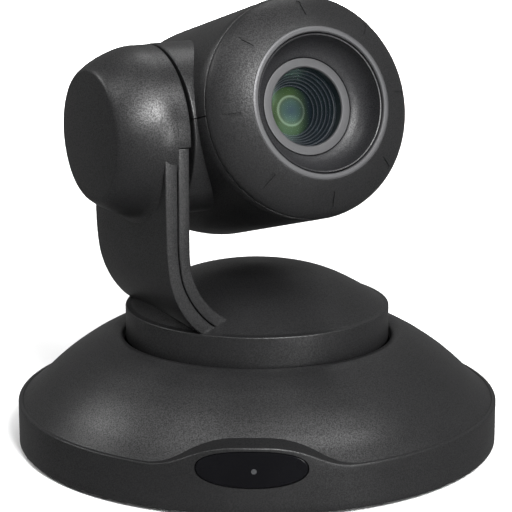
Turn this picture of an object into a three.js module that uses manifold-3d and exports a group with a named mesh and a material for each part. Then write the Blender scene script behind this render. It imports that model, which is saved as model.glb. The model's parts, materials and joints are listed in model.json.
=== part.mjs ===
// Pan-tilt-zoom conference camera: a domed base, a turntable that carries a one-sided arm,
// and a cylindrical camera head that tilts on the arm's hub.
// Millimetres, +Z up. The origin is on the pan axis, on the surface the feet stand on.
// The base's front, with its infrared window, faces -Y.
import * as THREE from 'three';
import { mergeVertices } from 'three/addons/utils/BufferGeometryUtils.js';
import Module from 'manifold-3d';

const wasm = await Module();
wasm.setup();

// ---------------------------------------------------------------- driving dimensions
const GAP = 0.3;                 // clearance between neighbouring pieces
const SIDES = 40;                // facets round the large turned pieces
const LENS_SIDES = 32;           // and round the lens
const SMALL_SIDES = 14;          // and round screws, feet and pins
const WALL = 2.2;                // moulded wall thickness
const FOOT_LIFT = 1.5;           // the feet hold the base this far off the surface

const BASE_R = 90;               // outer radius of the rim
const RIM_TOP = 15.9;            // height of the rim's straight wall
const RIM_WALL = 1.6;
const PLATE_R = 88.0;
const PLATE_TOP = 2.5;
const ARCH_TOP = 24.0;           // crown of the hood over the window
const WINDOW_HALF_W = 19.2;
const WINDOW_HALF_H = 6.4;
const WINDOW_Z = 16.1;

const TABLE_R = 49.35;           // turntable wall radius
const TABLE_BOTTOM = 38.6;
const TABLE_EDGE = 50.9;
const PAN_REST = 29.7;           // degrees the head is turned from the base's front
const TILT_REST = 15.9;          // degrees the head is raised
const TILT_Z = 120.25;           // tilt axis over the rim's lower edge

const ARM_HALF_W = 30;           // half width of the strap
const ARM_IN = 43.0;             // inner face of the strap, from the pan axis
const ARM_SEAM = 47.5;           // where the two half shells of the strap meet
const ARM_OUT = 52.4;            // outer face of the strap
const HUB_R = 30.8;
const HUB_END = 67.6;            // flat outer face of the hub

const HEAD_R = 40;               // camera head
const HEAD_BACK_R = 53.3;        // the back is round about the tilt axis
const HEAD_FRONT = 37.6;         // front edge of the shells, along the optical axis
const BACK_CORNER = 4.8;         // chamfer between the head's side and back, clear of the arm
const CHEEK_X = 41.3;            // flat boss that faces the hub
const CHEEK_R = 31.0;
const BARREL_R = 16.6;

const PAN_MODULE = 1.2;
const PAN_TEETH = 48;
const PAN_PINION_TEETH = 12;
const PAN_MOTOR_ANGLE = 215;     // where the pan motor stands in the base
const TILT_MODULE = 0.8;
const TILT_TEETH = 39;
const TILT_PINION_TEETH = 12;

// ---------------------------------------------------------------- materials
function material(color, roughness, metalness) {
  return new THREE.MeshStandardMaterial({ color, roughness, metalness });
}
const charcoal = material(0x3c3c3d, 0.45, 0);
const darkPlastic = material(0x29292a, 0.5, 0);
const lipGrey = material(0x626263, 0.5, 0);
const glossBlack = material(0x0c0c0e, 0.08, 0);
const blackRubber = material(0x1a1a1a, 0.85, 0);
const steel = material(0xa8aaad, 0.35, 1);
const zinc = material(0x8d9093, 0.4, 1);
const brass = material(0xb59a55, 0.35, 1);
const blackMetal = material(0x1d1d1f, 0.4, 1);
const board = material(0x15402b, 0.5, 0);
const nylon = material(0xd8d5cb, 0.5, 0);
const glass = material(0x1b2a3a, 0.02, 0);
const lamp = material(0x3a3d40, 0.2, 0);

// ---------------------------------------------------------------- solids
// A closed solid from a three.js geometry: shared corners merged, empty triangles dropped.
function solid(geometry) {
  const bare = geometry.clone();
  bare.deleteAttribute('normal');
  bare.deleteAttribute('uv');
  const merged = mergeVertices(bare, 1e-4);
  const index = Array.from(merged.index.array);
  const kept = [];
  for (let i = 0; i < index.length; i += 3) {
    const [a, b, c] = index.slice(i, i + 3);
    if (a !== b && b !== c && c !== a) kept.push(a, b, c);
  }
  const vertProperties = new Float32Array(merged.attributes.position.array);
  const triVerts = new Uint32Array(kept);
  return new wasm.Manifold(new wasm.Mesh({ numProp: 3, vertProperties, triVerts }));
}

function geometryOf(shape) {
  const mesh = shape.getMesh();
  const geometry = new THREE.BufferGeometry();
  geometry.setAttribute('position', new THREE.BufferAttribute(mesh.vertProperties, 3));
  geometry.setIndex(new THREE.BufferAttribute(mesh.triVerts, 1));
  geometry.computeVertexNormals();
  return geometry;
}

function union(...shapes) {
  return shapes.reduce((sum, next) => sum.add(next));
}

function cut(shape, ...tools) {
  return tools.reduce((left, tool) => left.subtract(tool), shape);
}

// Turns a geometry made along +Z so that it runs along the named axis.
const TURN = {
  z: (g) => g,
  x: (g) => g.rotateY(Math.PI / 2),      // +Z goes to +X
  '-y': (g) => g.rotateX(Math.PI / 2),   // +Z goes to -Y
};

// Solid of revolution from closed or axis-to-axis points [radius, height].
function revolve(points, segments = 48, axis = 'z') {
  let area = 0;
  points.forEach(([r, h], i) => {
    const [r2, h2] = points[(i + 1) % points.length];
    area += r * h2 - r2 * h;
  });
  const ordered = area > 0 ? points.slice() : points.slice().reverse();
  const onAxis = ordered[0][0] === 0 && ordered[ordered.length - 1][0] === 0;
  if (!onAxis) ordered.push(ordered[0]);
  const lathe = new THREE.LatheGeometry(ordered.map(([r, h]) => new THREE.Vector2(r, h)), segments);
  return solid(TURN[axis](lathe.rotateX(Math.PI / 2)));
}

// Cylinder or tube between two heights along an axis, centred at a point of the cross plane.
function rod(radius, from, to, segments = 32, axis = 'z', at = [0, 0, 0]) {
  const geometry = new THREE.CylinderGeometry(radius, radius, to - from, segments);
  geometry.rotateX(Math.PI / 2).translate(0, 0, (from + to) / 2);
  return solid(TURN[axis](geometry).translate(...at));
}

function tube(inner, outer, from, to, segments = 32, axis = 'z') {
  return revolve([[inner, from], [outer, from], [outer, to], [inner, to]], segments, axis);
}

function box(x0, x1, y0, y1, z0, z1) {
  const geometry = new THREE.BoxGeometry(x1 - x0, y1 - y0, z1 - z0);
  return solid(geometry.translate((x0 + x1) / 2, (y0 + y1) / 2, (z0 + z1) / 2));
}

function outline(points) {
  return new THREE.Shape(points.map(([x, y]) => new THREE.Vector2(x, y)));
}

// Prism with its outline in the XZ plane, running along Y.
function prismY(points, y0, y1) {
  const geometry = new THREE.ExtrudeGeometry(outline(points), { depth: y1 - y0, bevelEnabled: false });
  return solid(geometry.rotateX(Math.PI / 2).translate(0, y1, 0));
}

// Curve moved sideways by a distance, to the left of its direction of travel.
function offset(points, distance) {
  return points.map((p, i) => {
    const a = points[Math.max(i - 1, 0)];
    const b = points[Math.min(i + 1, points.length - 1)];
    const length = Math.hypot(b[0] - a[0], b[1] - a[1]);
    return [p[0] - ((b[1] - a[1]) / length) * distance, p[1] + ((b[0] - a[0]) / length) * distance];
  });
}

// Involute spur gear between two heights, a tooth centred on +X.
function gear(module, teeth, bore, from, to, slack = 0.24) {
  const pitch = (module * teeth) / 2;
  const base = pitch * Math.cos(THREE.MathUtils.degToRad(20));
  const root = pitch - 1.25 * module;
  const tip = pitch + 0.85 * module;
  const involute = (r) => {
    const angle = Math.acos(Math.min(1, base / Math.max(r, base)));
    return Math.tan(angle) - angle;
  };
  const half = Math.PI / (2 * teeth) - slack / (2 * pitch) + involute(pitch);
  const radii = [root, pitch - 0.1 * module, tip];
  const points = [];
  for (let tooth = 0; tooth < teeth; tooth += 1) {
    const centre = (2 * Math.PI * tooth) / teeth;
    radii.forEach((r) => points.push([r, centre - half + involute(r)]));
    radii.slice().reverse().forEach((r) => points.push([r, centre + half - involute(r)]));
  }
  const shape = outline(points.map(([r, a]) => [r * Math.cos(a), r * Math.sin(a)]));
  if (bore > 0) {
    const hole = new THREE.Path();
    hole.absarc(0, 0, bore, 0, 2 * Math.PI, true);
    shape.holes.push(hole);
  }
  const options = { depth: to - from, bevelEnabled: false, curveSegments: 16 };
  return solid(new THREE.ExtrudeGeometry(shape, options).translate(0, 0, from));
}

// ---------------------------------------------------------------- scene graph
const camera = new THREE.Group();
const body = new THREE.Group();          // the base's own frame, at the rim's lower edge
const pan = new THREE.Group();           // turns about Z
const head = new THREE.Group();          // turns about the tilt axis
body.position.z = FOOT_LIFT;
pan.rotation.z = THREE.MathUtils.degToRad(PAN_REST);
head.position.z = TILT_Z;
head.rotation.x = -THREE.MathUtils.degToRad(TILT_REST);
camera.add(body);
body.add(pan);
pan.add(head);

function piece(name, group, shape, look) {
  const mesh = new THREE.Mesh(geometryOf(shape), look);
  mesh.name = name;
  group.add(mesh);
  return mesh;
}

// ---------------------------------------------------------------- base housing
const DOME = [
  [87.9, 15.4], [83.2, 20.2], [78.1, 25.0], [72.3, 30.0], [65.3, 35.0], [56.6, 39.8],
  [54.3, 40.6], [52.6, 40.4], [50.6, 39.2],
];
const DOME_INSIDE = [
  [50.2, 36.0], [53.8, 36.0], [54.6, 38.1], [64.0, 33.0], [70.8, 28.3], [76.4, 23.4],
  [85.6, 14.0], [87.9, 12.0],
];
// Crest line of the hood: half width at each height above the rim.
const ARCH = [
  [36.5, 15.2], [34.4, 16.2], [30.2, 16.9], [25.6, 18.5], [20.2, 20.8], [15.0, 22.6],
  [9.9, 23.6], [4.0, ARCH_TOP],
];

function archOutline(drop, floor) {
  const right = ARCH.map(([x, z]) => [x - drop * 0.6, z - drop]);
  const left = right.map(([x, z]) => [-x, z]).reverse();
  return [[-right[0][0], floor], [right[0][0], floor], ...right, ...left];
}

// Window outline: an oval with slightly squared shoulders.
function windowOutline(grow) {
  const points = [];
  for (let i = 0; i < 32; i += 1) {
    const t = (2 * Math.PI * i) / 32;
    const c = Math.cos(t);
    const s = Math.sin(t);
    const x = Math.sign(c) * Math.abs(c) ** 0.87 * (WINDOW_HALF_W + grow);
    const z = Math.sign(s) * Math.abs(s) ** 0.87 * (WINDOW_HALF_H + grow);
    points.push([x, WINDOW_Z + z]);
  }
  return points;
}

// The hood is the arch pushed back until it meets the dome, hollow inside.
const aboveDome = DOME.slice(1).map(([r, z]) => [r + 0.2, z + 0.25]);
const domeOuter = revolve([[0, 5], [88.2, 5], [88.2, 15.6], ...aboveDome, [0, 42]], SIDES);
const hoodHollow = prismY(archOutline(1.8, 9), -BASE_R - 1, -68)
  .intersect(rod(BASE_R - 2.2, 0, 30, SIDES));
const hoodBlock = prismY(archOutline(0, 9), -BASE_R - 1, -60)
  .intersect(rod(BASE_R, 0, 30, SIDES));
const hood = cut(hoodBlock, hoodHollow, domeOuter);

const BOSS_ANGLES = [45, 135, 225, 315];
const BOSS_AT = 82.6;
function around(radius, degrees) {
  const a = THREE.MathUtils.degToRad(degrees);
  return [radius * Math.cos(a), radius * Math.sin(a), 0];
}

// Opening in the back of the rim for the connectors.
const REAR_HALF_W = 38;
const rearOpening = box(-REAR_HALF_W, REAR_HALF_W, 60, 95, 2.9, 14.2);

const rim = tube(BASE_R - RIM_WALL, BASE_R, 0, RIM_TOP, SIDES);
const skirtBosses = BOSS_ANGLES.map((angle) => union(
  rod(3.6, PLATE_TOP + GAP, 11.5, SMALL_SIDES, 'z', around(BOSS_AT, angle)),
  rod(2.2, PLATE_TOP + GAP, 11.5, 8, 'z', around(BOSS_AT + 4.6, angle)),
));
const skirtHoles = BOSS_ANGLES.map((angle) => rod(1.6, 0, 10.5, 10, 'z', around(BOSS_AT, angle)));
const skirt = cut(
  union(rim, hood, ...skirtBosses),
  prismY(windowOutline(GAP), -95, -80),
  rearOpening,
  ...skirtHoles,
);
piece('base_skirt', body, skirt, charcoal);

const domeShell = revolve([...DOME, ...DOME_INSIDE], SIDES);
const domeNotch = prismY(archOutline(2.6, 9), -BASE_R - 1, -76).add(box(-20.4, 20.4, -92, -76.5, 9, 19.8));
const domeRear = box(-REAR_HALF_W - 1, REAR_HALF_W + 1, 60, 95, 2.9, 14.6);
piece('base_dome', body, cut(domeShell, domeNotch, domeRear), charcoal);

const windowRing = tube(BASE_R - 2.3, BASE_R - 0.1, 5, 26, SIDES);
const windowPane = prismY(windowOutline(0), -95, -80).intersect(windowRing);
piece('ir_window', body, cut(windowPane, rod(1.25, 80, 92, 16, '-y', [0.8, 0, 15.6])), glossBlack);
piece('status_light', body, rod(0.95, 84.9, 89.85, 16, '-y', [0.8, 0, 15.6]), lamp);

const irBoard = box(-14, 14, -79.2, -77.6, PLATE_TOP + GAP, 17.5);
piece('ir_board', body, irBoard, board);
piece('ir_receiver', body, box(-3, 3, -84.6, -79.5, 11.5, 18.2), glossBlack);

// ---------------------------------------------------------------- base plate and feet
const plateHoles = BOSS_ANGLES.map((angle) => union(
  rod(1.6, -1, 4, 10, 'z', around(BOSS_AT, angle)),
  rod(3.1, -1, 1.6, 12, 'z', around(BOSS_AT, angle)),
));
const FOOT_AT = 68;
const FOOT_ANGLES = [45, 135, 225, 315];
const footHoles = FOOT_ANGLES.map((angle) => rod(2.5, -1, 4, 12, 'z', around(FOOT_AT, angle)));
const plate = cut(rod(PLATE_R, 0, PLATE_TOP, SIDES), rod(6.3, -1, 4, 24), ...plateHoles, ...footHoles);
piece('base_plate', body, plate, zinc);

const FOOT = [[0, -1.5], [8.4, -1.5], [9, -0.9], [9, -GAP], [2.2, -GAP], [2.2, 3.4], [0, 3.4]];
FOOT_ANGLES.forEach((angle, i) => {
  const mesh = piece(`foot_${i + 1}`, body, revolve(FOOT, SMALL_SIDES), blackRubber);
  mesh.position.set(...around(FOOT_AT, angle));
});

const BASE_SCREW = [[0, 0.2], [2.7, 0.2], [2.7, 1.3], [1.25, 1.7], [1.25, 9.6], [0, 9.9]];
BOSS_ANGLES.forEach((angle, i) => {
  const cross = box(-0.35, 0.35, -1.7, 1.7, -1, 0.8).add(box(-1.7, 1.7, -0.35, 0.35, -1, 0.8));
  const screw = cut(revolve(BASE_SCREW, SMALL_SIDES), cross);
  const mesh = piece(`base_screw_${i + 1}`, body, screw, steel);
  mesh.position.set(...around(BOSS_AT, angle));
});

const BUSH = [[3.2, -0.9], [9, -0.9], [9, -GAP], [6.0, -GAP], [6.0, 9.5], [3.2, 9.5]];
piece('tripod_bush', body, revolve(BUSH, 24), brass);

// ---------------------------------------------------------------- base electronics
piece('main_board', body, cut(box(-50, 50, 27, 66.8, 6.0, 7.6), rod(25, 0, 20, 32)), board);
const PANEL_Y = 79;              // inner face of the connector panel
const PORT_FACE = 81.4;          // the ports stand just proud of the panel, inside the rim
const JACK = { x: -28, z: 8.4 };
const HDMI_X = 10;
const USB_X = -9;
const CONTROL_X = 28;
const panel = cut(
  box(-36, 36, PANEL_Y, PANEL_Y + 1.6, PLATE_TOP + GAP, 13.9),
  rod(4.3, -92, -60, 24, '-y', [JACK.x, 0, JACK.z]),
  box(USB_X - 6.6, USB_X + 6.6, 60, 92, 3.9, 12.8),
  box(HDMI_X - 8.0, HDMI_X + 8.0, 60, 92, 5.6, 11.6),
  rod(4.9, -92, -60, 24, '-y', [CONTROL_X, 0, JACK.z]),
);
piece('connector_panel', body, panel, darkPlastic);

// Barrel jack with its centre pin; the socket is open towards the back.
const jackCan = revolve([
  [0, -70.4], [4.0, -70.4], [4.0, -PORT_FACE], [3.0, -PORT_FACE], [3.0, -72], [0.95, -72],
  [0.95, -80.2], [0, -80.2],
], 20, '-y');
const jackMesh = piece('power_jack', body, jackCan, blackMetal);
jackMesh.position.set(JACK.x, 0, JACK.z);

const usbBody = cut(
  box(USB_X - 6.3, USB_X + 6.3, 67.6, PORT_FACE, 4.2, 12.5),
  box(USB_X - 5.5, USB_X + 5.5, 70.6, 90, 5.0, 11.7),
).add(box(USB_X - 3.2, USB_X + 3.2, 70, 79.8, 7.4, 9.4));
piece('usb_port', body, usbBody, steel);

// Socket outline with its two lower corners cut off.
const hdmiShape = (x, z) => [
  [-x, z], [-x, -z * 0.3], [-x * 0.72, -z], [x * 0.72, -z], [x, -z * 0.3], [x, z],
];
const moved = (points, dx, dz) => points.map(([x, z]) => [x + dx, z + dz]);
const hdmiBody = cut(
  prismY(moved(hdmiShape(7.7, 2.7), HDMI_X, 8.6), 67.6, PORT_FACE),
  prismY(moved(hdmiShape(6.9, 2.1), HDMI_X, 8.6), 70.6, 90),
).add(box(HDMI_X - 4.9, HDMI_X + 4.9, 70, 79.8, 8.1, 9.1));
piece('hdmi_port', body, hdmiBody, steel);

const controlBody = cut(
  rod(4.6, -PORT_FACE, -67.6, 24, '-y', [CONTROL_X, 0, JACK.z]),
  rod(3.7, -92, -71.6, 20, '-y', [CONTROL_X, 0, JACK.z]),
).add(box(CONTROL_X - 1.1, CONTROL_X + 1.1, 71, 79.2, JACK.z - 0.6, JACK.z + 1.4));
piece('control_port', body, controlBody, darkPlastic);

// ---------------------------------------------------------------- pan drive in the base
const chassis = revolve([
  [12, PLATE_TOP + GAP], [44, PLATE_TOP + GAP], [44, 5.3], [21, 5.3], [21, 29.2],
  [18, 29.2], [18, 21.7], [12, 21.7],
], LENS_SIDES);
const motorAt = around((PAN_MODULE * (PAN_TEETH + PAN_PINION_TEETH)) / 2, PAN_MOTOR_ANGLE);
piece('pan_chassis', body, chassis, zinc);
piece('pan_bearing', body, tube(11.3, 17.7, 22, 29, 28), steel);
const panMotor = union(rod(13.6, 5.6, 24.4, 24), rod(4.5, 24.0, 26.4, 20));
piece('pan_motor', body, cut(panMotor, rod(2.3, 20, 30, 12)), steel).position.set(...motorAt);

const SENSOR_ANGLE = 30;
const sensorAt = around(35.5, SENSOR_ANGLE);
const sensorPost = cut(box(-3.5, 3.5, -4, 4, 5.6, 33), box(-9, 1.4, -9, 9, 25.8, 30.0));
const sensor = piece('pan_home_sensor', body, sensorPost, glossBlack);
sensor.position.set(...sensorAt);
sensor.rotation.z = THREE.MathUtils.degToRad(SENSOR_ANGLE);

const panPinion = union(
  gear(PAN_MODULE, PAN_PINION_TEETH, 0, 30.2, 34.2),
  rod(2.0, 21, 35.0, 12),
);
const pinion = piece('pan_pinion', body, panPinion, brass);
pinion.position.set(...motorAt);
pinion.rotation.z = THREE.MathUtils.degToRad(PAN_MOTOR_ANGLE + 180 - 180 / PAN_PINION_TEETH);

// The gear carries a flag under its web that passes through the home sensor's slot.
const toothTurn = PAN_MOTOR_ANGLE - PAN_REST;
const flag = box(24, 33.4, -2, 2, 27.4, 28.6).add(box(24, 26.4, -2, 2, 27.4, 31));
const flagTurn = new THREE.Matrix4().makeRotationZ(THREE.MathUtils.degToRad(SENSOR_ANGLE - toothTurn));
const panGear = union(
  gear(PAN_MODULE, PAN_TEETH, 11.3, 30.4, 34.0),
  solid(geometryOf(flag).applyMatrix4(flagTurn)),
);
piece('pan_gear', pan, panGear, nylon).rotation.z = THREE.MathUtils.degToRad(toothTurn);

// ---------------------------------------------------------------- turntable
const TABLE_DOME = [
  [TABLE_R, 50.1], [48.7, 50.9], [47.3, 51.3], [40, 55.8], [31, 60.5], [20, 63.6], [9, 65.2], [0, 65.6],
];
const tableSolid = revolve([[0, TABLE_BOTTOM], [TABLE_R, TABLE_BOTTOM], ...TABLE_DOME], SIDES);
const tableClear = revolve([[0, 44], [TABLE_R, 44], ...TABLE_DOME.map(([r, z]) => [r, z + GAP])], SIDES);
const tableHollow = revolve([
  [0, 30], [46.9, 30], [46.9, 49.0], [37, 54.5], [22, 60.4], [0, 63.2],
], SIDES);

// Arm faces, from the turntable's edge up, as [side, height].
const ARM_INNER = [
  [-18, 50.5], [-24, 53.0], [-28.6, 55.3], [-34.1, 59.4], [-38.6, 65.0], [-41.6, 71.0], [-42.8, 77.2],
  [-ARM_IN, 84],
];
const ARM_MID = [
  [-21, 46.5], [-27.5, 49.7], [-33.2, 52.9], [-37.8, 57.3], [-42.3, 63.0], [-45.9, 70.1], [-47.2, 77.7],
  [-ARM_SEAM, 84],
];
const ARM_OUTER = [
  [-24, 44.5], [-32, 47.2], [-38.7, 51.1], [-43.3, 55.5], [-47.7, 62.0], [-50.8, 69.8], [-52.0, 79.0],
  [-ARM_OUT, 98.8],
];
const INNER_TOP = 118.7;

function strap(first, second, top) {
  const up = [...first, [first[first.length - 1][0], top]];
  const down = [...second, [second[second.length - 1][0], top]].reverse();
  return prismY([...up, ...down], -ARM_HALF_W, ARM_HALF_W);
}

const CHANNEL_HALF_W = 24;
const channelIn = offset(ARM_INNER, WALL);
const channelOut = offset(ARM_OUTER, -WALL);
const channelTop = [[-ARM_IN - WALL, 116], [-ARM_OUT + WALL, 116]];
const channelPoints = [...channelIn, ...channelTop, ...channelOut.slice().reverse()];
const channel = prismY(channelPoints, -CHANNEL_HALF_W, CHANNEL_HALF_W);

piece('turntable', pan, cut(tableSolid, tableHollow, channel), charcoal);

// ---------------------------------------------------------------- arm
const hubProfile = [
  [0, 42.5], [30.2, 42.5], [HUB_R, 43.2], [HUB_R, 50], [29.9, 55], [28.1, 60], [25.9, 64], [23.6, 67.2],
  [22.9, HUB_END], [0, HUB_END],
];
const onTiltAxis = (shape) => shape.translate([0, 0, TILT_Z]);
const mirrorHub = (points) => points.map(([r, h]) => [r, -h]);
const hub = onTiltAxis(revolve(mirrorHub(hubProfile), SIDES, 'x'));
const hubHollow = onTiltAxis(revolve(mirrorHub([
  [0, 44.8], [28, 44.8], [28, 54.8], [26.9, 57.8], [25.2, 61], [22.2, 65.2], [0, 65.2],
]), SIDES, 'x'));
const shaftBore = onTiltAxis(rod(13.1, -50, -38, 28, 'x'));

const outerStrap = strap(offset(ARM_MID, 0.15), ARM_OUTER, TILT_Z);
const innerRegion = box(-ARM_SEAM - 0.15, -38, -32, 32, 60, INNER_TOP + GAP);
const armOuter = cut(
  union(cut(hub, innerRegion), outerStrap),
  hubHollow, channel, shaftBore, tableClear,
);
piece('arm_outer_shell', pan, armOuter, charcoal);

const innerStrap = strap(ARM_INNER, offset(ARM_MID, -0.15), INNER_TOP);
piece('arm_inner_shell', pan, cut(innerStrap, channel, hubHollow, shaftBore, tableClear), charcoal);

const FRAME_PATH = [
  [14, 43.1], [-20, 43.1], [-26, 45.6], [-31.5, 50.6], [-37.2, 56.4], [-42.0, 63.0], [-45.4, 70.1],
  [-46.9, 77.7], [-47.5, 84], [-47.5, 141],
];
const framePoints = [...offset(FRAME_PATH, 1), ...offset(FRAME_PATH, -1).reverse()];
const framePlate = prismY(framePoints, -18, 18);
const TILT_CENTRES = (TILT_MODULE * (TILT_TEETH + TILT_PINION_TEETH)) / 2;
const tiltMotorZ = TILT_Z - TILT_CENTRES;
const frameHoles = [
  onTiltAxis(rod(13.0, -52, -42, 28, 'x')),
  rod(6.3, -52, -42, 24, 'x', [0, 0, tiltMotorZ]),
  rod(2.4, 40, 46, 16, 'z', [0, 0, 0]),
];
piece('arm_frame', pan, cut(framePlate, ...frameHoles), zinc);
piece('tilt_bearing', pan, onTiltAxis(tube(8.3, 12.7, -50.9, -45.1, 28, 'x')), steel);
const tiltMotor = union(
  rod(6.0, -53.6, -45.5, 20, 'x', [0, 0, tiltMotorZ]),
  rod(2.6, -54.1, -53, 12, 'x', [0, 0, tiltMotorZ]),
);
piece('tilt_motor', pan, cut(tiltMotor, rod(1.6, -56, -50, 12, 'x', [0, 0, tiltMotorZ])), steel);

piece('pan_table', pan, cut(
  revolve([[8.3, 35.2], [11, 35.2], [11, 38.6], [46, 38.6], [46, 41.6], [8.3, 41.6]], LENS_SIDES),
  ...[60, 180, 300].map((a) => rod(4, 36, 43, 12, 'z', around(30, a))),
), zinc);
piece('pan_shaft', pan, revolve([
  [3.5, 22.5], [11, 22.5], [11, 34.9], [8.0, 34.9], [8.0, 41.8], [3.5, 41.8],
], 28), steel);

const tiltPinion = union(
  gear(TILT_MODULE, TILT_PINION_TEETH, 0, 54.6, 57.5),
  rod(1.3, 50.5, 58.2, 10),
);
// The pinion's own +Z runs outwards along the hub.
const tiltPinionMesh = piece('tilt_pinion', pan, tiltPinion, brass);
tiltPinionMesh.position.set(0, 0, tiltMotorZ);
tiltPinionMesh.rotation.set(0, -Math.PI / 2, 0);
tiltPinionMesh.rotateZ(Math.PI / TILT_PINION_TEETH);

// ---------------------------------------------------------------- camera head
// Along the optical axis, -Y is forward, so [radius, distance] profiles use axis '-y'.
// A cylinder on the optical axis whose back is trimmed round about the tilt axis.
function headForm(radius, back, front) {
  const corner = [[radius - BACK_CORNER, -back], [radius, BACK_CORNER - back]];
  const barrel = revolve([[0, -back], ...corner, [radius, front], [0, front]], SIDES, '-y');
  const frontHalf = box(-60, 60, -60, 0, -60, 60);
  return barrel.intersect(union(rod(back, -60, 60, SIDES, 'x'), frontHalf));
}
const headOuter = headForm(HEAD_R, HEAD_BACK_R, HEAD_FRONT);
const headInner = headForm(HEAD_R - WALL, HEAD_BACK_R - WALL, 39);
const cheek = rod(CHEEK_R, -CHEEK_X, -20, SIDES, 'x');
const cheekHollow = rod(CHEEK_R - WALL, -CHEEK_X + WALL, -15, SIDES, 'x');
const SCREW_AT = [22, -14];
const bossRod = (r, from, to, x) => rod(r, from, to, 12, '-y', [x, 0, SCREW_AT[1]]);
const headShell = cut(union(headOuter, cheek), headInner, cheekHollow, rod(8.4, -50, -30, 24, 'x'));
const upperHalf = box(-50, 50, -60, 60, 0.12, 50);
const lowerHalf = box(-50, 50, -60, 60, -50, -0.12);
piece('head_upper_shell', head, headShell.intersect(upperHalf), charcoal);

const screwBosses = [-1, 1].map((s) => bossRod(4.6, -50.0, -37, s * SCREW_AT[0]));
const screwHoles = [-1, 1].map((s) => union(
  bossRod(3.2, -60, -47.6, s * SCREW_AT[0]),
  bossRod(1.6, -50, -38.5, s * SCREW_AT[0]),
));
const lowerShell = cut(union(headShell.intersect(lowerHalf), ...screwBosses), ...screwHoles);
piece('head_lower_shell', head, lowerShell, charcoal);
const HEAD_SCREW = [
  [0, -50.2], [2.3, -50.2], [2.8, -49.8], [2.8, -48.0], [1.25, -47.7], [1.25, -39.2], [0, -39],
];
[-1, 1].forEach((s, i) => {
  const cross = box(-0.4, 0.4, 49, 52, -1.7, 1.7).add(box(-1.7, 1.7, 49, 52, -0.4, 0.4));
  const screw = cut(revolve(HEAD_SCREW, SMALL_SIDES, '-y'), cross);
  const mesh = piece(`head_screw_${i + 1}`, head, screw, steel);
  mesh.position.set(s * SCREW_AT[0], 0, SCREW_AT[1]);
});

// Front bezel, convex from the seam to the lip round the lens opening.
const bezelProfile = [
  [35.4, 32], [37.4, 32], [37.4, 37.9], [40, 37.93], [39.4, 40.0], [38.0, 42.0], [34.6, 45.0], [31, 47.3],
  [27.16, 49.1], [24.85, 49.3], [24.6, 46.3], [28.2, 45.9], [33.6, 42.7], [35.4, 40],
];
piece('front_bezel', head, revolve(bezelProfile, SIDES, '-y'), darkPlastic);

piece('lens_bowl', head, revolve([
  [24.3, 42.5], [24.3, 48.3], [23.5, 48.3], [22.9, 44], [20.8, 40.2], [17.56, 38.5],
  [17.56, 36.5], [22.0, 38.6],
], LENS_SIDES, '-y'), glossBlack);
piece('lens_ring', head, revolve([
  [14.7, 34.0], [17.26, 34.0], [17.26, 38.6], [14.7, 38.6],
], LENS_SIDES, '-y'), lipGrey);
piece('front_element', head, revolve([
  [0, 35.9], [8, 35.6], [14.4, 34.5], [14.4, 37.8], [8, 38.9], [0, 39.25],
], LENS_SIDES, '-y'), glass);

piece('lens_barrel', head, revolve([
  [15.0, -22], [BARREL_R, -22], [BARREL_R, 33.7], [15.0, 33.7],
], LENS_SIDES, '-y'), blackMetal);
piece('zoom_group', head, revolve([
  [0, 9.8], [9, 8.2], [14.6, 8.2], [14.6, 16], [9, 16], [0, 14.6],
], 24, '-y'), glass);
piece('focus_group', head, revolve([
  [0, -12.6], [9, -11.4], [14.6, -11.4], [14.6, -6.2], [9, -6.2], [0, -5.2],
], 24, '-y'), glass);
piece('image_sensor', head, box(-4, 4, 22.6, 23.8, -3.5, 3.5), glossBlack);
piece('sensor_board', head, box(-17, 17, 24.1, 25.7, -15, 15), board);
piece('video_board', head, box(-26, 26, 30, 31.6, -24, 24), board);

const headFrame = cut(
  union(rod(22, -12, 12, 28, '-y'), box(-35.4, 0, -12, 12, -13, 13)),
  rod(BARREL_R + GAP, -20, 20, LENS_SIDES, '-y'),
);
piece('head_frame', head, headFrame, zinc);
piece('tilt_shaft', head, revolve(mirrorHub([
  [0, 35.8], [14, 35.8], [14, 38.4], [8, 38.4], [8, 60], [0, 60],
]), 28, 'x'), steel);
const tiltGear = gear(TILT_MODULE, TILT_TEETH, 8.3, 54.8, 57.4);
const tiltGearMesh = piece('tilt_gear', head, tiltGear, nylon);
tiltGearMesh.rotation.set(0, -Math.PI / 2, 0);
tiltGearMesh.rotateZ(Math.PI - THREE.MathUtils.degToRad(TILT_REST));

export default camera;
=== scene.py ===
# %% [markdown]
# # A pan-tilt-zoom camera
# This notebook dresses a ready-made mechanical frame. The frame gives every part its place and
# size; here each visible part gets its fine shape and its finish. Shapes are written in millimetres
# in the part's own frame (base, turntable or head) and then placed, so that the drawings stay readable.

# %% Load the frame
import bpy
import bmesh
import json
import math
from mathutils import Matrix, Vector


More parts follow.
